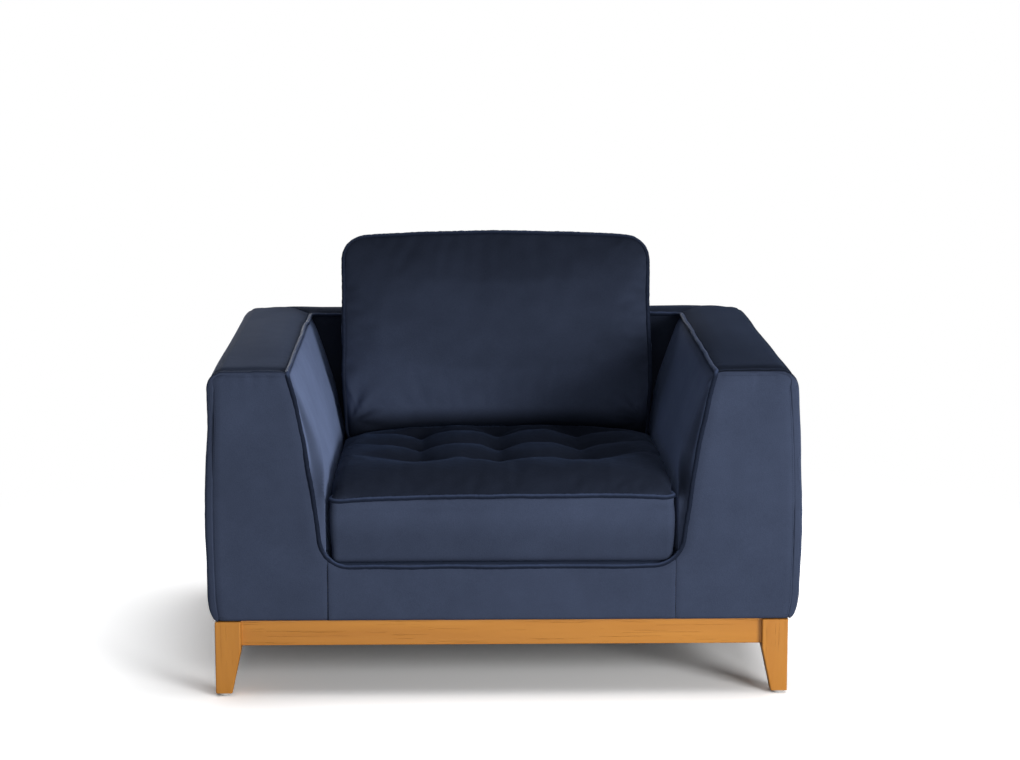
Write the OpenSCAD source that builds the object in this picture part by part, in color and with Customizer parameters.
// Upholstered club armchair.
// Two box arm units are bolted to a seat-and-back unit, and all three stand on a
// show-wood base of four tapered legs and four tenoned rails. A zig-zag spring deck
// carries the loose seat cushion, and the loose back cushion stands on its rear.
// Millimetres, +Z up, the front faces -Y, left is -X. The origin is on the floor
// below the middle of the chair.

/* [Overall] */
// Width over the fullest part of the arms
overall_w = 1155; // [1060:5:1250]
// Depth from the front panels to the outside back
overall_d = 880; // [830:5:940]
// Height of the arm tops
arm_h = 636; // [610:2:670]
// Height of the body's underside, which is the height of the base
base_h = 148; // [132:1:160]

/* [Show-wood base] */
// Width of a leg at its top
leg_top = 50; // [46:1:58]
// Width of a leg at its foot
leg_foot = 32; // [26:1:38]
// Height of the tapered part of a leg
leg_taper_h = 85; // [70:1:90]
// Distance of the legs in from the sides of the body
leg_inset_side = 23.5; // [20:0.5:32]
// Distance of the legs in from the front and the back
leg_inset_front = 4; // [2:0.5:12]
// Height of the base rails
rail_h = 50; // [42:1:54]
// Thickness of the base rails
rail_t = 22; // [19:1:25]
// Distance of the rail faces behind the leg faces
rail_setback = 12; // [9:0.5:14]
// Radius of the legs' edges
leg_edge_r = 3; // [1:0.5:5]
// Radius of the rails' edges
rail_edge_r = 2; // [1:0.5:4]
// Length of a rail's tenon
tenon_l = 21; // [16:0.5:22]
// Thickness of a rail's tenon
tenon_t = 9; // [7:0.5:10]
// Height of the shoulder above and below a tenon
tenon_shoulder = 8; // [5:0.5:10]
// Length of the two square sides of a corner block
block_leg = 78; // [70:1:95]
// Height of a corner block
block_h = 38; // [30:1:40]
// Width of a nail-on glide
glide_d = 26; // [20:0.5:28]
// Height of a nail-on glide
glide_h = 6; // [5:0.5:9]
// Length of a glide's nail
glide_nail_l = 18; // [12:1:24]

/* [Frame timber] */
// Thickness of the frame rails
board_t = 22; // [19:1:24]
// Thickness of the plywood arm formers
former_t = 18; // [12:1:21]
// Height of the seat rails
seat_rail_h = 72; // [66:1:74]
// Width of a back post
post_w = 50; // [42:1:56]
// Gap between an arm's top board and the padding on its inner side
top_board_gap = 13; // [6:1:24]

/* [Arms] */
// Clear width between the arms at the seat
seat_opening_w = 661; // [640:1:680]
// Width between the arm welts at the top
top_opening_w = 816; // [780:2:840]
// Radius of the outer top edge of an arm
arm_edge_r = 28; // [22:1:34]
// How far the outer side bulges past its top
side_bulge = 11; // [6:0.5:15]
// Height of the widest place of the outer side
side_mid_h = 330; // [300:5:360]
// How far the outer side tucks in at its lower edge
lower_tuck = 20; // [14:1:24]
// Height over which it tucks in
lower_tuck_h = 60; // [44:1:70]
// Padded fullness of the inner side
inner_bulge = 5; // [2:0.5:8]
// Height of the panel seam's welt above the floor at the apron
apron_h = 255.5; // [250:0.5:262]
// Half width between the welts at the end of their lower bend
welt_low_half = 352; // [346:1:360]
// Radius of the welt's lower bend
welt_bend_r = 61; // [50:1:68]
// Sag of the welt's slanting run
welt_sag = 6; // [3:0.5:9]
// Distance of the seams between arm and apron panels from the middle
panel_seam_x = 335; // [332:1:340]

/* [Back] */
// Lean of the back
back_tilt = 13.5; // [11:0.5:15]
// Thickness of the back at its top
back_top_t = 99; // [90:1:108]
// Radius of the back's rear top edge
back_edge_r = 20; // [14:1:24]

/* [Springs] */
// Number of zig-zag springs
spring_count = 5; // [4:1:6]
// Thickness of the spring wire
wire_d = 3.8; // [3.2:0.1:4.4]
// Width of a spring
spring_w = 52; // [46:1:60]
// Distance from one bar of a spring to the next
spring_pitch = 24; // [22:0.5:28]
// Thickness of the deck over the middle of the springs
deck_t = 10; // [8:0.5:12]

/* [Covers] */
// Thickness of the fabric with its backing
cover_t = 2.5; // [2:0.1:3]
// Thickness of the foam on the arm and back frames
pad_t = 14; // [10:0.5:16]
// Thickness of the padded front panels
front_pad_t = 12; // [11:0.5:15]
// Thickness of the outside back panel
outside_back_t = 3.4; // [3:0.1:5]
// Thickness of the dust cover
dust_t = 1.2; // [1:0.1:2]
// Thickness of the welts
welt_d = 9; // [8:0.5:10]
// Gap between pieces that lie against each other
fit = 0.2; // [0.15:0.05:0.3]
// Gap round the loose cushions
cushion_gap = 0.4; // [0.35:0.05:0.6]

/* [Seat cushion] */
// Distance of the seat cushion's front behind the front panels
seat_setback = 8; // [6:0.5:14]
// Height of the seat cushion's boxing, from seam to seam
seat_boxing = 128; // [118:1:136]
// Rise of the seat cushion's top above its welt
seat_crown = 39; // [30:1:44]
// Depth over which the front of the seat cushion crowns
seat_front_round = 190; // [150:5:220]
// Corner radius of the seat cushion
seat_corner_r = 22; // [16:1:30]
// Pull-in of the seat cushion's boxing at its lower edge
seat_pull_in = 6; // [3:0.5:9]

/* [Back cushion] */
// Width of the back cushion between its welts
back_cushion_w = 657; // [630:1:664]
// Height of the back cushion at its corners
back_cushion_h = 398; // [370:1:430]
// Thickness of the back cushion
back_cushion_t = 169; // [150:1:180]
// Rise of the back cushion's top in its middle
back_crown = 14; // [8:1:20]
// Radius of the back cushion's upper corners
back_corner_r = 42; // [30:1:50]
// Pull-in of the back cushion at each lower corner
back_pull_in = 14; // [8:1:20]
// Thickness of a cushion's cover with its fibre wrap
wrap_t = 8; // [7:0.5:10]

/* [Fasteners] */
// Thickness of the wood screws
screw_d = 4; // [3.5:0.5:5]
// Thickness of the arm bolts
bolt_d = 8; // [6:1:10]
// Clearance of a fastener in its hole, on the diameter
hole_gap = 0.3; // [0.2:0.05:0.5]

/* [Hidden] */

// How far a cutting shape runs past what it cuts
past = 1;

half_w = overall_w / 2;
front_y = -overall_d / 2;
back_y = overall_d / 2;
welt_r = welt_d / 2;
// Everything above the base starts over the dust cover.
dust_z = base_h + fit;
body_z = dust_z + dust_t + fit;

// Base: a leg's outer faces, and the rail faces behind them
leg_x = half_w - leg_inset_side;
leg_y = back_y - leg_inset_front;
rail_x = leg_x - rail_setback;
rail_y = leg_y - rail_setback;
rail_z = base_h - rail_h;
tenon_h = rail_h - 2 * tenon_shoulder;
base_rail_mid = rail_y - rail_t / 2;
side_rail_mid = rail_x - rail_t / 2;

// Arms
in_half = seat_opening_w / 2;
top_half = top_opening_w / 2;
panel_back_y = front_y + front_pad_t;
cover_front_y = panel_back_y + fit;
former_y = cover_front_y + cover_t + fit;
frame_back_y = back_y - outside_back_t - fit;
frame_inset = cover_t + fit + pad_t + fit;
// The welt's middle lies this far below the arm tops.
welt_sink = 3;
welt_top_z = arm_h - welt_sink;
top_notch_z = welt_top_z - welt_r - fit;
// Radius of the chair's upright corners, seen from above
plan_corner_r = 18;
// Radius that stays on the innermost layer of an arm's edge
least_edge_r = 4;
edge_z = arm_h - arm_edge_r;
tuck_z = body_z + lower_tuck_h;

// Back: y of its inner face at a height, on a plane that leans back
back_in_top = back_y - back_top_t;
function back_in(z, t = 0) = back_in_top - (arm_h - z) * tan(back_tilt) + t / cos(back_tilt);
// The welt along the back's top lies just behind that plane.
back_welt_y = back_in(welt_top_z, welt_r);

// Seat
seat_z = apron_h + welt_r + cushion_gap;
deck_top_z = seat_z - cushion_gap;
seat_rail_z = body_z + seat_rail_h;
seat_seam_z = seat_z + seat_boxing;
seat_top_z = seat_seam_z + seat_crown;
knee_z = seat_seam_z;
// Gap between the seat cushion's welt and the arms
seat_side_gap = 1;
seat_half = in_half - seat_side_gap - welt_r;
seat_front_y = front_y + seat_setback;
seat_rear_y = back_in(seat_z) - cushion_gap;
front_rail_y = former_y + 1;
rear_rail_y = back_in(seat_rail_z) + 5;
// The back's cover ends this far below the top of the seat deck.
cover_tuck = 10;
seat_cover_z = deck_top_z - cover_tuck;

// Back cushion, in a frame turned by back_tilt about X: u runs through its
// thickness and w up along its lean.
back_u = back_in_top * cos(back_tilt) - arm_h * sin(back_tilt);
cushion_u1 = back_u - cushion_gap;
cushion_u0 = cushion_u1 - back_cushion_t;
lean_y = (cushion_u0 + seat_top_z * sin(back_tilt)) / cos(back_tilt);
seat_w = lean_y * sin(back_tilt) + seat_top_z * cos(back_tilt);
cushion_w0 = seat_w + cushion_gap + welt_r;
cushion_w1 = cushion_w0 + back_cushion_h;
back_half = back_cushion_w / 2;

// ---------- helpers ----------

function arc(cx, cy, r, a0, a1, n = 8) =
    [for (i = [0:n]) let (a = a0 + (a1 - a0) * i / n) [cx + r * cos(a), cy + r * sin(a)]];

// A profile drawn in X and Z, carried along Y.
module along_y(y0, y1) {
    translate([0, y1, 0]) rotate([90, 0, 0]) linear_extrude(y1 - y0) children();
}

// A profile drawn in Y and Z, carried along X.
module along_x(x0, x1) {
    translate([x0, 0, 0]) rotate([90, 0, 90]) linear_extrude(x1 - x0) children();
}

module side(name) {
    if (name == "left") mirror([1, 0, 0]) children();
    else children();
}

module both_sides() {
    children();
    mirror([1, 0, 0]) children();
}

module box(a, b) {
    translate(a) cube(b - a);
}

// A square with round corners, from its own middle.
module round_square(hx, hy, r) {
    polygon(concat(arc(hx - r, hy - r, r, 0, 90, 6), arc(r - hx, hy - r, r, 90, 180, 6),
        arc(r - hx, r - hy, r, 180, 270, 6), arc(hx - r, r - hy, r, 270, 360, 6)));
}

// One round tube swept along a route. Each ring lies square to the way through its
// point, and "up" keeps the rings from turning on each other.
function unit(v) = v / norm(v);
module swept(route, r, closed = false, sides = 8) {
    n = len(route);
    function way(i) = unit(route[closed ? (i + 1) % n : min(i + 1, n - 1)]
        - route[closed ? (i + n - 1) % n : max(i - 1, 0)]);
    function frame_at(i, last) = let (t = way(i)) unit(last - (last * t) * t);
    first = let (t = way(0)) unit(cross(t, abs(t.z) < 0.9 ? [0, 0, 1] : [1, 0, 0]));
    normals = [for (i = 0, v = first; i < n; i = i + 1, v = i < n ? frame_at(i, v) : v) v];
    rings = [for (i = [0:n - 1]) let (a = normals[i], b = cross(way(i), a))
        for (k = [0:sides - 1]) let (q = 360 * k / sides) route[i] + r * (cos(q) * a + sin(q) * b)];
    turns = closed ? n : n - 1;
    walls = [for (i = [0:turns - 1], k = [0:sides - 1]) let (j = (i + 1) % n, m = (k + 1) % sides)
        [i * sides + k, j * sides + k, j * sides + m, i * sides + m]];
    ends = closed ? [] : [[for (k = [0:sides - 1]) k],
        [for (k = [sides - 1:-1:0]) (n - 1) * sides + k]];
    polyhedron(rings, concat(walls, ends));
}

// A countersunk wood screw along +Z, its head's top at the origin.
module wood_screw(length) {
    translate([0, 0, -length]) cylinder(d = screw_d, h = length - screw_d * 0.5, $fn = 24);
    translate([0, 0, -screw_d * 0.5])
        cylinder(d1 = screw_d, d2 = screw_d * 2, h = screw_d * 0.5, $fn = 24);
}

// ---------- profiles ----------

// Outer side of an arm at a height
function side_x(z) = half_w - side_bulge * pow((z - side_mid_h) / (edge_z - side_mid_h), 2);

// Inner side of an arm at a height
function inner_x(z) = z <= knee_z ? in_half : let (s = (z - knee_z) / (arm_h - knee_z))
    in_half + (top_half - in_half) * s - inner_bulge * 4 * s * (1 - s);

// Section of the right arm in X and Z, drawn in by t, its foot lengthened by drop.
module arm_profile(t = 0, drop = 0) {
    edge_x = side_x(edge_z) - arm_edge_r;
    notch_z = top_notch_z - t;
    notch_x = top_half + welt_r + fit + t;
    lower = [for (i = [8:-1:0]) let (a = 90 * i / 8)
        [side_x(tuck_z) - t - lower_tuck * (1 - cos(a)), tuck_z - lower_tuck_h * sin(a)]];
    outer = [for (i = [1:9]) let (z = tuck_z + (edge_z - tuck_z) * i / 10) [side_x(z) - t, z]];
    inner = [for (i = [0:8]) let (z = notch_z + (knee_z - notch_z) * i / 8) [inner_x(z) + t, z]];
    polygon(concat([[in_half + t, body_z - drop], [lower[0].x, body_z - drop]],
        drop > 0 ? lower : [for (i = [1:8]) lower[i]], outer,
        arc(edge_x, edge_z, max(arm_edge_r - t, least_edge_r), 0, 90, 6),
        [[notch_x, arm_h - t], [notch_x, notch_z]], inner));
}

// Section of the back in Y and Z, drawn in by t and open below z0.
module back_profile(t, z0) {
    notch_z = top_notch_z - t;
    notch_y = back_welt_y + welt_r + fit + t;
    polygon(concat([[back_in(z0, t), z0], [back_in(notch_z, t), notch_z],
        [notch_y, notch_z], [notch_y, arm_h - t]],
        arc(frame_back_y - back_edge_r, arm_h - back_edge_r, back_edge_r - t, 90, 0, 6),
        [[frame_back_y - t, z0]]));
}

// The welt's line on the right half of the front, in X and Z, moved outwards by t
bend_x = welt_low_half - welt_bend_r;
bend_z = apron_h + welt_bend_r;
bend_end = 6;
slant_z = bend_z - welt_bend_r * sin(bend_end);
function welt_bend(t, a0 = -90) = arc(bend_x, bend_z, welt_bend_r + t, a0, -bend_end, 8);
function slant_x(z) = let (s = (z - slant_z) / (welt_top_z - slant_z))
    welt_low_half + (top_half - welt_low_half) * s - welt_sag * 4 * s * (1 - s);
function welt_slant(t) = [for (i = [1:8])
    let (z = slant_z + (welt_top_z - slant_z) * i / 8) [slant_x(z) + t, z]];
// Where the panel seam meets the welt
panel_gap = fit + 0.2;
seam_angle = -acos((panel_seam_x - bend_x) / (welt_bend_r + welt_r + panel_gap));

// The chair's outline from above, with round corners
module plan_outline() {
    linear_extrude(arm_h + past) round_square(half_w, overall_d / 2, plan_corner_r);
}

// ---------- base ----------

// A post through level square sections, each given as [width, z], with round edges.
// All the sections share the corner at x, y, so the post is straight on its outer
// sides and tapers on its inner ones.
module lofted_post(x, y, sections, r, steps = 4) {
    n = 4 * (steps + 1);
    function section(w) = [for (q = [0:3], i = [0:steps]) let (a = 90 * (q + i / steps))
        [(q == 0 || q == 3 ? x - r : x - w + r) + r * cos(a), (q < 2 ? y - r : y - w + r) + r * sin(a)]];
    points = [for (s = sections) for (p = section(s[0])) [p.x, p.y, s[1]]];
    walls = [for (k = [0:len(sections) - 2], i = [0:n - 1]) let (j = (i + 1) % n)
        [k * n + i, (k + 1) * n + i, (k + 1) * n + j, k * n + j]];
    ends = [[for (i = [0:n - 1]) i], [for (i = [n - 1:-1:0]) (len(sections) - 1) * n + i]];
    polyhedron(points, concat(walls, ends));
}

// The leg at the right rear corner; the others are mirrored from it.
module leg() {
    difference() {
        lofted_post(leg_x, leg_y, [[leg_foot, glide_h], [leg_top, glide_h + leg_taper_h], [leg_top, base_h]],
            leg_edge_r);
        mortise_x();
        mortise_y();
        translate([leg_x - leg_foot / 2, leg_y - leg_foot / 2, glide_h - past])
            cylinder(d = screw_d + hole_gap, h = glide_nail_l + past + hole_gap, $fn = 24);
    }
}

// Room for the tenon of a rail that runs along X
module mortise_x() {
    half_t = (tenon_t + fit) / 2;
    box([leg_x - leg_top - past, base_rail_mid - half_t, rail_z + tenon_shoulder - fit / 2],
        [leg_x - leg_top + tenon_l + fit, base_rail_mid + half_t, base_h - tenon_shoulder + fit / 2]);
}

// Room for the tenon of a rail that runs along Y
module mortise_y() {
    half_t = (tenon_t + fit) / 2;
    box([side_rail_mid - half_t, leg_y - leg_top - past, rail_z + tenon_shoulder - fit / 2],
        [side_rail_mid + half_t, leg_y - leg_top + tenon_l + fit, base_h - tenon_shoulder + fit / 2]);
}

module leg_at(sx, sy) {
    color("peru") mirror([sx < 0 ? 1 : 0, 0, 0]) mirror([0, sy < 0 ? 1 : 0, 0]) leg();
}

// Places of the upright screws that hold the body on the base, and how deep their
// heads go into the rails
front_screw_x = 260;
side_screw_y = 240;
side_screw_x = side_rail_mid - 4;
base_screw_l = 58;
base_screw_recess = 18;
module rail_screw_hole() {
    translate([0, 0, rail_z - past]) cylinder(d = screw_d + hole_gap, h = rail_h + 2 * past, $fn = 24);
    translate([0, 0, rail_z - past]) cylinder(d = screw_d * 2.5, h = base_screw_recess + past, $fn = 24);
}

// Screws through the corner blocks: their distance from the corner, the wood under
// their heads and their bite into the rails
block_screw_at = 56;
block_screw_seat = 15;
block_screw_bite = 14;
module block_screw_bore() {
    translate([0, 0, -past]) cylinder(d = screw_d + hole_gap, h = block_screw_bite + 2 * past, $fn = 24);
}

// Rear rail; the front one is mirrored from it.
module cross_rail() {
    reach = leg_x - leg_top - fit;
    c = base_rail_mid;
    difference() {
        union() {
            along_x(-reach, reach) translate([c, rail_z + rail_h / 2])
                round_square(rail_t / 2, rail_h / 2, rail_edge_r);
            box([-reach - tenon_l, c - tenon_t / 2, rail_z + tenon_shoulder],
                [reach + tenon_l, c + tenon_t / 2, rail_z + tenon_shoulder + tenon_h]);
        }
        for (sx = [-1, 1]) {
            translate([sx * front_screw_x, c, 0]) rail_screw_hole();
            translate([sx * (rail_x - rail_t - block_screw_at), rail_y - rail_t, block_mid_z])
                rotate([-90, 0, 0]) block_screw_bore();
        }
    }
}

// Right rail; the left one is mirrored from it.
module side_rail() {
    reach = leg_y - leg_top - fit;
    c = side_rail_mid;
    difference() {
        union() {
            along_y(-reach, reach) translate([c, rail_z + rail_h / 2])
                round_square(rail_t / 2, rail_h / 2, rail_edge_r);
            box([c - tenon_t / 2, -reach - tenon_l, rail_z + tenon_shoulder],
                [c + tenon_t / 2, reach + tenon_l, rail_z + tenon_shoulder + tenon_h]);
        }
        for (sy = [-1, 1]) {
            translate([side_screw_x, sy * side_screw_y, 0]) rail_screw_hole();
            translate([rail_x - rail_t, sy * (rail_y - rail_t - block_screw_at), block_mid_z])
                rotate([0, 90, 0]) block_screw_bore();
        }
    }
}

block_z = base_h - fit - block_h;
block_mid_z = block_z + block_h / 2;
// How far a leg reaches inside the rails
leg_in = leg_top - rail_setback - rail_t;
module corner_block() {
    difference() {
        translate([rail_x - rail_t, rail_y - rail_t, block_z]) rotate(180) linear_extrude(block_h)
            polygon([[leg_in + fit, fit], [block_leg, fit], [fit, block_leg],
                [fit, leg_in + fit], [leg_in + fit, leg_in + fit]]);
        block_screw_places() translate([0, 0, -block_leg / 2])
            cylinder(d = screw_d + hole_gap, h = block_leg, $fn = 24);
        block_screw_places() translate([0, 0, -hole_gap])
            cylinder(d = screw_d * 2 + hole_gap, h = block_leg, $fn = 24);
    }
}

// Each place has its +Z along the screw's axis, away from the rail.
module block_screw_places() {
    translate([rail_x - rail_t - block_screw_seat, rail_y - rail_t - block_screw_at, block_mid_z])
        rotate([0, -90, 0]) children();
    translate([rail_x - rail_t - block_screw_at, rail_y - rail_t - block_screw_seat, block_mid_z])
        rotate([90, 0, 0]) children();
}

module four_corners() {
    both_sides() {
        children();
        mirror([0, 1, 0]) children();
    }
}

module corner_blocks() color("burlywood") four_corners() corner_block();

glide_bevel = 2;
module leg_glides() {
    color("lightgray") four_corners() translate([leg_x - leg_foot / 2, leg_y - leg_foot / 2, 0]) {
        cylinder(d1 = glide_d - 2 * glide_bevel, d2 = glide_d, h = glide_bevel, $fn = 40);
        translate([0, 0, glide_bevel]) cylinder(d = glide_d, h = glide_h - glide_bevel - fit / 2, $fn = 40);
        cylinder(d = screw_d, h = glide_h + glide_nail_l, $fn = 24);
    }
}

module block_screws() {
    color("silver") four_corners() block_screw_places()
        translate([0, 0, screw_d * 0.5]) wood_screw(block_screw_seat + block_screw_bite);
}

// Upright screws through the base rails into the body's frame
module base_screw_places() {
    for (sx = [-1, 1], sy = [-1, 1]) {
        translate([sx * front_screw_x, sy * base_rail_mid, 0]) children();
        translate([sx * side_screw_x, sy * side_screw_y, 0]) children();
    }
}
module base_screws() {
    color("silver") base_screw_places() translate([0, 0, rail_z + base_screw_recess - screw_d * 0.5])
        mirror([0, 0, 1]) wood_screw(base_screw_l);
}
module base_screw_holes() {
    base_screw_places() translate([0, 0, base_h - past])
        cylinder(d = screw_d + hole_gap, h = base_screw_l, $fn = 24);
}

// ---------- seat frame ----------

seat_side_x = in_half - fit;
module cross_board(y0) {
    x = seat_side_x - board_t - fit;
    box([-x, y0, body_z], [x, y0 + board_t, seat_rail_z]);
}

module seat_rail_front() color("wheat") difference() {
    cross_board(front_rail_y);
    base_screw_holes();
}

module seat_rail_rear() color("wheat") cross_board(rear_rail_y);

module back_foot_rail() color("wheat") difference() {
    cross_board(frame_back_y - board_t - fit);
    base_screw_holes();
}

// Places of the bolts between the seat rails and the arms
bolt_ys = [-300, -40, 200];
bolt_z = body_z + seat_rail_h / 2 + 2;
module bolt_places() {
    for (y = bolt_ys) translate([seat_side_x - board_t, y, bolt_z]) rotate([0, 90, 0]) children();
}
module bolt_holes() {
    bolt_places() translate([0, 0, -past])
        cylinder(d = bolt_d + hole_gap, h = bolt_grip + frame_inset + 2 * past, $fn = 32);
}

module seat_rail_side() {
    difference() {
        box([seat_side_x - board_t, front_rail_y, body_z], [seat_side_x, frame_back_y - fit, seat_rail_z]);
        bolt_holes();
    }
}

// Hexagon bolts with their nuts, in the usual proportions to the bolt
inner_rail_t = 26;
inner_rail_over = 12;
inner_rail_top_z = seat_rail_z + inner_rail_over;
bolt_grip = board_t + fit + cover_t + fit + inner_rail_t;
bolt_head_h = bolt_d * 0.65;
bolt_nut_h = bolt_d * 0.8;
bolt_across = bolt_d * 1.9;
module arm_bolts() {
    color("silver") both_sides() bolt_places() {
        translate([0, 0, -bolt_head_h - fit]) cylinder(d = bolt_across, h = bolt_head_h, $fn = 6);
        translate([0, 0, -bolt_head_h])
            cylinder(d = bolt_d, h = bolt_grip + bolt_head_h + 1.2 * bolt_nut_h, $fn = 32);
        translate([0, 0, bolt_grip + fit * 2]) cylinder(d = bolt_across, h = bolt_nut_h, $fn = 6);
    }
}

// ---------- springs ----------

// A spring's bars lie on an arch from rail to rail. Every bar runs along X, so each
// bend turns in the plane of its two bars and joins them without a corner.
wire_r = wire_d / 2;
clip_t = 1.2;
spring_y0 = front_rail_y + board_t / 2;
spring_y1 = rear_rail_y + board_t / 2;
spring_z0 = seat_rail_z + fit + clip_t + fit / 2 + wire_r;
spring_rise = deck_top_z - deck_t - cushion_gap - wire_r - spring_z0;
spring_span = spring_y1 - spring_y0;
arch_r = (spring_span * spring_span / 4 + spring_rise * spring_rise) / (2 * spring_rise);
arch_half = asin(spring_span / 2 / arch_r);
bar_count = round(arch_half * PI / 90 * arch_r / spring_pitch);
bar_step = 2 * arch_half / bar_count;
bend_r = arch_r * sin(bar_step / 2);
bar_half = spring_w / 2 - bend_r - wire_r;
function arch_point(a) = [(spring_y0 + spring_y1) / 2 + arch_r * sin(a),
    spring_z0 + spring_rise - arch_r * (1 - cos(a))];

function bend_way(k) = let (a = -arch_half + k * bar_step) unit(arch_point(a + bar_step) - arch_point(a));
// Which way bar k runs, to the right or to the left
function bar_sign(k) = k % 2 == 0 ? 1 : -1;
function bend_points(k) = let (p = arch_point(-arch_half + k * bar_step), way = bend_way(k))
    let (c = p + bend_r * way) [for (a = [60, 120]) let (q = c - bend_r * cos(a) * way)
        [bar_sign(k) * (bar_half + bend_r * sin(a)), q[0], q[1]]];
function bar_points(k) = let (p = arch_point(-arch_half + k * bar_step))
    [for (e = [-1, 1]) [e * bar_sign(k) * bar_half, p[0], p[1]]];

module spring() {
    swept([for (k = [0:bar_count]) for (p = concat(bar_points(k), k < bar_count ? bend_points(k) : [])) p],
        wire_r, false, 6);
}

spring_gap = 2 * (seat_side_x - board_t) / spring_count;
function spring_x(i) = (i - (spring_count - 1) / 2) * spring_gap;

module sinuous_springs() {
    color("slategray") for (i = [0:spring_count - 1]) translate([spring_x(i), 0, 0]) spring();
}

// A clip is a plate with a curl over the end bar.
clip_w = 24;
module clip(y) {
    r = wire_r + fit / 2;
    cut_w = clip_w + 2 * past;
    translate([-clip_w / 2, y, seat_rail_z + fit]) {
        difference() {
            union() {
                translate([0, 1 - board_t / 2, 0]) cube([clip_w, board_t - 2, clip_t]);
                translate([0, 0, clip_t + r]) rotate([0, 90, 0])
                    cylinder(r = r + clip_t, h = clip_w, $fn = 32);
            }
            translate([-past, 0, clip_t + r]) rotate([0, 90, 0]) cylinder(r = r, h = cut_w, $fn = 32);
            translate([-past, 0, clip_t]) cube([cut_w, board_t, r]);
            translate([-past, -board_t, -clip_t - past]) cube([cut_w, 2 * board_t, clip_t + past]);
        }
    }
}

module spring_clips() {
    color("silver") for (i = [0:spring_count - 1]) translate([spring_x(i), 0, 0]) {
        clip(spring_y0);
        translate([0, 2 * spring_y1, 0]) mirror([0, 1, 0]) clip(spring_y1);
    }
}

// The deck is a felt pad on the springs, arched underneath and flat on top.
module seat_deck() {
    clip_top = seat_rail_z + 2 * fit + 2 * clip_t + wire_d + 0.5;
    rear = rear_rail_y + 5;
    under = [for (i = [20:-1:0]) let (p = arch_point(-arch_half + 2 * arch_half * i / 20))
        if (p[0] < rear - past) [p[0], max(p[1] + wire_r + cushion_gap, clip_top)]];
    color("dimgray") along_x(-in_half + fit * 2, in_half - fit * 2)
        polygon(concat([[front_rail_y, clip_top], [front_rail_y, deck_top_z],
            [back_in(deck_top_z) - 1, deck_top_z], [back_in(seat_cover_z) - 1, seat_cover_z - fit],
            [rear, seat_cover_z - fit], [rear, clip_top]], under));
}

// ---------- back frame ----------

webbing_t = 1.6;
frame_back_in = frame_inset + webbing_t + fit;
module back_post() {
    z0 = seat_rail_z + fit;
    z1 = arm_h - frame_inset - board_t - fit * 2;
    y0 = back_in(z0, frame_back_in);
    y1 = back_in(z1, frame_back_in);
    along_x(seat_side_x - board_t, seat_side_x)
        polygon([[y0, z0], [y0 + post_w, z0], [y1 + post_w, z1], [y1, z1]]);
}

module back_top_rail() {
    z1 = arm_h - frame_inset - fit;
    y0 = back_welt_y + welt_r + frame_inset + fit * 2;
    reach = inner_x(z1 - board_t) - fit * 2;
    color("wheat") box([-reach, y0, z1 - board_t], [reach, frame_back_y - back_edge_r - fit, z1]);
}

// The tack rail leaves a slot above the seat, through which the covers are pulled.
tack_rail_h = 46;
pull_slot = 30;
tack_rail_z = seat_cover_z + pull_slot;
module back_tack_rail() {
    x = seat_side_x - board_t - fit;
    color("wheat") along_x(-x, x) polygon([for (p = [[0, 0], [1, 0], [1, 1], [0, 1]])
        [back_in(tack_rail_z + p[1] * tack_rail_h, frame_back_in) + p[0] * board_t,
            tack_rail_z + p[1] * tack_rail_h]]);
}

// Bands of webbing from post to post, evenly between the tack rail and the top rail
web_w = 50;
web_count = 4;
web_margin = 12;
module back_webbing() {
    w0 = tack_rail_z + tack_rail_h + web_margin;
    w1 = arm_h - frame_inset - board_t - web_w - 2 * web_margin;
    step = (w1 - w0) / (web_count - 1);
    color("black") for (i = [0:web_count - 1]) {
        z0 = w0 + i * step;
        along_x(-seat_side_x, seat_side_x) polygon([for (p = [[0, 0], [1, 0], [1, 1], [0, 1]])
            [back_in(z0 + p[1] * web_w, frame_inset + p[0] * webbing_t), z0 + p[1] * web_w]]);
    }
}

// ---------- arm frames ----------

window_wall = 72;
window_r = 24;
module former() {
    difference() {
        intersection() {
            arm_profile(frame_inset, frame_inset);
            translate([0, body_z]) square([half_w, arm_h]);
        }
        // Room for the inner rail that the bolts pull against the seat
        translate([in_half, body_z - past])
            square([cover_t + fit + inner_rail_t + fit, seat_rail_h + inner_rail_over + fit + past]);
        // Lightening window, nearer to the outer side because the inner side leans out
        translate([(top_half + half_w) / 2 - frame_inset, (body_z + arm_h) / 2])
            round_square((half_w - in_half) / 2 - window_wall, (arm_h - body_z) / 2 - 1.7 * window_wall,
                window_r);
    }
}

module arm_front_former() along_y(former_y, former_y + former_t) former();
module arm_rear_former() along_y(frame_back_y - former_t - fit, frame_back_y - fit) former();

arm_frame_y0 = former_y + former_t + fit;
arm_frame_y1 = frame_back_y - former_t - fit * 2;
module arm_top_board() {
    x0 = top_half + welt_r + fit + frame_inset + top_board_gap;
    x1 = side_x(edge_z) - arm_edge_r;
    z1 = arm_h - frame_inset;
    box([x0, arm_frame_y0, z1 - board_t], [x1, arm_frame_y1, z1]);
}

module arm_inner_rail() {
    x0 = in_half + cover_t + fit;
    difference() {
        box([x0, former_y, body_z], [x0 + inner_rail_t, frame_back_y - fit, inner_rail_top_z]);
        bolt_holes();
    }
}

module arm_outer_rail() {
    x1 = side_x(tuck_z) - lower_tuck - frame_inset;
    difference() {
        box([x1 - board_t, arm_frame_y0, body_z], [x1, arm_frame_y1, seat_rail_z]);
        base_screw_holes();
    }
}

// ---------- arm upholstery ----------

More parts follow.
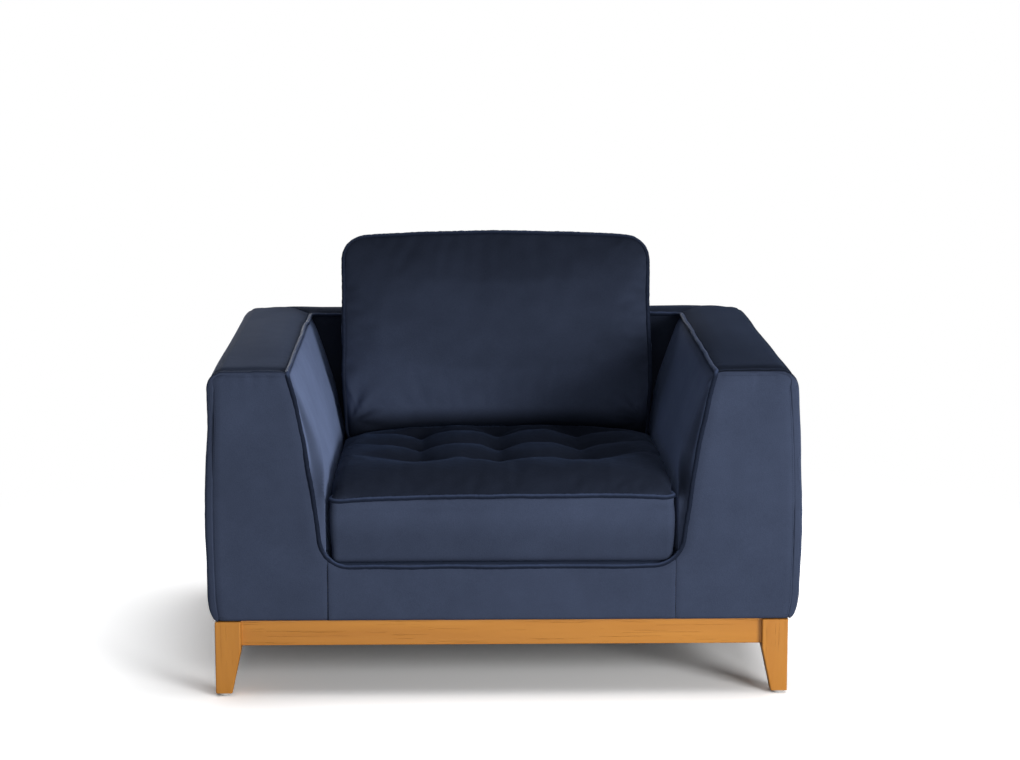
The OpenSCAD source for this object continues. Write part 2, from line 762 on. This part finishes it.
module arm_padding() {
    y1 = frame_back_y - fit;
    difference() {
        along_y(former_y, y1) arm_profile(cover_t + fit);
        along_y(former_y - past, y1 + past) arm_profile(cover_t + fit + pad_t, frame_inset);
        // The inner leg of the foam ends above the bolted rail.
        box([in_half - past, former_y - past, body_z - past],
            [in_half + frame_inset + past, y1 + past, inner_rail_top_z + fit]);
    }
}

module arm_cover() {
    difference() {
        intersection() {
            along_y(cover_front_y, frame_back_y) arm_profile();
            plan_outline();
        }
        along_y(cover_front_y + cover_t, frame_back_y + past) arm_profile(cover_t, frame_inset);
        bolt_holes();
    }
}

module arm_front() {
    gap = welt_r + panel_gap;
    color("midnightblue") intersection() {
        along_y(front_y, panel_back_y) polygon(concat(
            [[panel_seam_x + fit, body_z], [side_x(tuck_z) - lower_tuck, body_z]],
            [for (i = [7:-1:0]) let (a = 90 * i / 8)
                [side_x(tuck_z) - lower_tuck * (1 - cos(a)), tuck_z - lower_tuck_h * sin(a)]],
            [for (i = [1:9]) let (z = tuck_z + (edge_z - tuck_z) * i / 10) [side_x(z), z]],
            arc(side_x(edge_z) - arm_edge_r, edge_z, arm_edge_r, 0, 90, 6),
            [[top_half + gap, arm_h]], [for (i = [7:-1:0]) welt_slant(gap)[i]],
            [for (i = [8:-1:1]) welt_bend(gap, seam_angle)[i]],
            [[panel_seam_x + fit, bend_z + (welt_bend_r + gap) * sin(seam_angle)]]));
        plan_outline();
    }
}

module front_apron() {
    gap = welt_r + panel_gap;
    right = [for (i = [8:-1:0]) arc(bend_x, bend_z, welt_bend_r + gap, -90, seam_angle, 8)[i]];
    edge = concat([[panel_seam_x, body_z]], [[panel_seam_x, right[0].y]],
        [for (i = [1:8]) right[i]]);
    color("midnightblue") {
        both_halves_y(front_y, panel_back_y, edge);
        box([-seat_side_x, panel_back_y, body_z], [seat_side_x, front_rail_y - fit, apron_h - gap]);
    }
}

// A symmetric front panel, from the outline of its right half
module both_halves_y(y0, y1, edge) {
    n = len(edge);
    along_y(y0, y1) polygon(concat(edge, [for (i = [n - 1:-1:0]) [-edge[i].x, edge[i].y]]));
}

// One welt runs round the seat opening: up both slants, back along the arms and
// across the back, and over the apron.
elbow_r = 8;
rear_bend_r = 24;
module frame_welt() {
    y = front_y + welt_r;
    front = concat([[0, apron_h]], welt_bend(0), [for (p = welt_slant(0)) if (p.y < welt_top_z - elbow_r) p]);
    top_front = [for (i = [0:4]) let (a = 90 * i / 4, z = welt_top_z - elbow_r * (1 - sin(a)))
        [slant_x(z), y + elbow_r * (1 - cos(a)), z]];
    top_rear = [for (i = [0:4]) let (a = 90 * i / 4)
        [top_half - rear_bend_r * (1 - cos(a)), back_welt_y - rear_bend_r * (1 - sin(a)), welt_top_z]];
    right = concat([for (p = front) [p.x, y, p.y]], top_front, top_rear);
    n = len(right);
    color("midnightblue") swept(concat(right, [[0, back_welt_y, welt_top_z]],
        [for (i = [n - 1:-1:1]) [-right[i].x, right[i].y, right[i].z]]), welt_r, true);
}

// ---------- back upholstery ----------

module arms_grown(t) {
    both_sides() along_y(front_y, back_y) arm_profile(-t);
}

module back_padding() {
    reach = top_half + welt_r;
    color("lightyellow") difference() {
        along_x(-reach, reach) back_profile(cover_t + fit, seat_cover_z);
        along_x(-reach - past, reach + past) back_profile(cover_t + fit + pad_t, seat_cover_z - pad_t);
        arms_grown(fit);
    }
}

module back_cover() {
    reach = top_half + welt_r;
    color("midnightblue") difference() {
        along_x(-reach, reach) back_profile(0, seat_cover_z);
        along_x(-reach - past, reach + past) back_profile(cover_t, seat_cover_z - pad_t);
        arms_grown(fit);
    }
}

// The outside back panel closes the rear over both arms and the back.
module outside_back() {
    color("midnightblue") intersection() {
        along_y(back_y - outside_back_t, back_y) {
            both_sides() arm_profile();
            translate([-in_half - fit, body_z]) square([2 * (in_half + fit), arm_h - body_z]);
            translate([-top_half - arm_edge_r, knee_z]) square([2 * (top_half + arm_edge_r), arm_h - knee_z]);
        }
        plan_outline();
    }
}

module dust_cover() {
    x = side_x(tuck_z) - lower_tuck - cover_t;
    color("black") difference() {
        box([-x, cover_front_y, dust_z], [x, frame_back_y - cover_t, dust_z + dust_t]);
        base_screw_holes();
    }
}

// ---------- seat cushion ----------

// How far out the cushion may reach at a height, to slide over the welt's lower bend
welt_clearance = 1;
function welt_clear_x(z) = let (r = welt_bend_r - welt_r - welt_clearance)
    bend_x + (z < bend_z ? sqrt(max(r * r - pow(bend_z - z, 2), 1)) : r);

// The plain shape of the cushion, drawn in by t
low_corner_h = 14;
module seat_form(t = 0) {
    half = seat_half - t;
    z0 = seat_z + t;
    z1 = seat_top_z - t;
    low_x = half - seat_pull_in;
    corner = [for (i = [0:4]) let (z = seat_z + low_corner_h * i / 4)
        [min(welt_clear_x(z) - t, low_x), z + t]];
    y0 = seat_front_y + t;
    y1 = seat_rear_y - t;
    seam = seat_seam_z;
    intersection() {
        along_y(y0, y1) polygon(concat(corner, [[half, seam]],
            [for (i = [1:15]) let (s = 1 - i / 8) [half * s, seam + (z1 - seam) * (1 - s * s)]],
            [[-half, seam]], [for (i = [4:-1:0]) [-corner[i].x, corner[i].y]]));
        along_x(-half, half) polygon(concat([[y0, z0], [y0, seam]],
            [for (i = [1:8]) let (s = 1 - i / 8)
                [y0 + seat_front_round * (1 - s), seam + (z1 - seam) * (1 - s * s)]],
            [[lean_y, z1], [y1, z1 - (y1 - lean_y) * tan(back_tilt)], [y1, z0]]));
        translate([0, (y0 + y1) / 2, 0]) linear_extrude(arm_h)
            round_square(half, (y1 - y0) / 2, seat_corner_r - t / 2);
    }
}

seat_mid_y = (seat_front_y + seat_rear_y) / 2;
seat_half_d = (seat_rear_y - seat_front_y) / 2;
// Cuts the groove that the cushion's welt lies in.
module seat_groove() {
    g = welt_r + fit;
    translate([0, seat_mid_y, seat_seam_z - g]) linear_extrude(2 * g) difference() {
        square([2 * (seat_half + past), 2 * (seat_half_d + past)], center = true);
        round_square(seat_half - g, seat_half_d - g, seat_corner_r - g);
    }
}

seat_zip_z = (seat_z + seat_seam_z) / 2;
zip_w = 14;
zip_t = 1.2;
seat_zip_l = 420;
module seat_cushion_cover() {
    color("midnightblue") difference() {
        seat_form();
        seat_form(wrap_t);
        seat_groove();
        translate([0, seat_rear_y, seat_zip_z])
            cube([seat_zip_l + 2 * fit, 2 * (zip_t + fit / 2), zip_w + 2 * fit], center = true);
    }
}

module seat_cushion_core() color("lightyellow") seat_form(wrap_t + fit);

module seat_cushion_welt() {
    r = seat_corner_r;
    corners = [[1, 1, 0], [-1, 1, 90], [-1, -1, 180], [1, -1, 270]];
    color("midnightblue") swept([for (q = corners)
        let (cx = q[0] * (seat_half - r), cy = seat_mid_y + q[1] * (seat_half_d - r))
            for (p = arc(cx, cy, r, q[2], q[2] + 90, 5)) [p.x, p.y, seat_seam_z]], welt_r, true);
}

// A zip lies flat in the middle of the boxing.
module seat_cushion_zip() {
    color("darkslategray") translate([0, seat_rear_y - zip_t / 2, seat_zip_z])
        cube([seat_zip_l, zip_t, zip_w], center = true);
}

// ---------- back cushion ----------

// Outline of the back cushion in X and W, drawn in by t, from the right lower corner
// round to the left one
back_low_r = 20;
back_knee_h = 120;
function back_outline(t = 0) = let (half = back_half - t, low = half - back_pull_in, w0 = cushion_w0 + t,
    w1 = cushion_w1 - t, r = back_corner_r - t / 2, low_r = back_low_r - t / 2)
    concat(arc(low - low_r, w0 + low_r, low_r, -90, 0, 4), [[half, cushion_w0 + back_knee_h]],
        arc(half - r, w1 - r, r, 0, 80, 6),
        [for (i = [1:15]) let (s = 1 - i / 8) [(half - r) * s, w1 + back_crown * (1 - s * s)]],
        arc(r - half, w1 - r, r, 100, 180, 6), [[-half, cushion_w0 + back_knee_h]],
        arc(low_r - low, w0 + low_r, low_r, 180, 270, 4));

module back_frame() rotate([-back_tilt, 0, 0]) children();

module back_form(t = 0) {
    along_y(cushion_u0 + t, cushion_u1 - t) polygon(back_outline(t));
}

// Room for a welt that runs round the outline at u
module back_groove(u) {
    g = welt_r + fit;
    along_y(u - g, u + g) difference() {
        translate([-back_half - past, cushion_w0 - past])
            square([2 * (back_half + past), back_cushion_h + back_crown + 2 * past]);
        polygon(back_outline(g));
    }
}

// Distance of the welts' middles in from the cushion's faces
back_welt_in = welt_r + 1;
module back_cushion_cover() {
    color("midnightblue") back_frame() difference() {
        back_form();
        back_form(wrap_t);
        back_groove(cushion_u0 + back_welt_in);
        back_groove(cushion_u1 - back_welt_in);
        translate([0, (cushion_u0 + cushion_u1) / 2, cushion_w0])
            cube([back_zip_l + 2 * fit, zip_w + 2 * fit, 2 * (zip_t + fit)], center = true);
    }
}

module back_cushion_core() color("lightyellow") back_frame() back_form(wrap_t + fit);

// A welt runs round the outline at u, half out of the cushion.
module back_cushion_welt(u) {
    color("midnightblue") back_frame() swept([for (p = back_outline()) [p.x, u, p.y]], welt_r, true);
}

module back_cushion_welt_front() back_cushion_welt(cushion_u0 + back_welt_in);
module back_cushion_welt_rear() back_cushion_welt(cushion_u1 - back_welt_in);

back_zip_l = 460;
module back_cushion_zip() {
    color("darkslategray") back_frame()
        translate([-back_zip_l / 2, (cushion_u0 + cushion_u1 - zip_w) / 2, cushion_w0 + fit / 2])
            cube([back_zip_l, zip_w, zip_t]);
}

// ---------- nodes ----------

leg_at(-1, -1);  // leg_front_left
leg_at(1, -1);  // leg_front_right
leg_at(-1, 1);  // leg_rear_left
leg_at(1, 1);  // leg_rear_right
color("peru") mirror([0, 1, 0]) cross_rail();  // base_rail_front
color("peru") cross_rail();  // base_rail_rear
color("peru") side("left") side_rail();  // base_rail_left
color("peru") side_rail();  // base_rail_right
corner_blocks();
leg_glides();
block_screws();
base_screws();
seat_rail_front();
seat_rail_rear();
color("wheat") side("left") seat_rail_side();  // seat_rail_left
color("wheat") seat_rail_side();  // seat_rail_right
sinuous_springs();
spring_clips();
seat_deck();
color("wheat") side("left") back_post();  // back_post_left
color("wheat") back_post();  // back_post_right
back_top_rail();
back_tack_rail();
back_foot_rail();
back_webbing();
color("burlywood") side("left") arm_front_former();  // arm_front_former_left
color("burlywood") arm_front_former();  // arm_front_former_right
color("burlywood") side("left") arm_rear_former();  // arm_rear_former_left
color("burlywood") arm_rear_former();  // arm_rear_former_right
color("wheat") side("left") arm_top_board();  // arm_top_board_left
color("wheat") arm_top_board();  // arm_top_board_right
color("wheat") side("left") arm_inner_rail();  // arm_inner_rail_left
color("wheat") arm_inner_rail();  // arm_inner_rail_right
color("wheat") side("left") arm_outer_rail();  // arm_outer_rail_left
color("wheat") arm_outer_rail();  // arm_outer_rail_right
arm_bolts();
color("lightyellow") side("left") arm_padding();  // arm_padding_left
color("lightyellow") arm_padding();  // arm_padding_right
color("midnightblue") side("left") arm_cover();  // arm_cover_left
color("midnightblue") arm_cover();  // arm_cover_right
side("left") arm_front();  // arm_front_left
arm_front();  // arm_front_right
front_apron();
back_padding();
back_cover();
outside_back();
dust_cover();
frame_welt();
seat_cushion_cover();
seat_cushion_core();
seat_cushion_welt();
seat_cushion_zip();
back_cushion_cover();
back_cushion_core();
back_cushion_welt_front();
back_cushion_welt_rear();
back_cushion_zip();
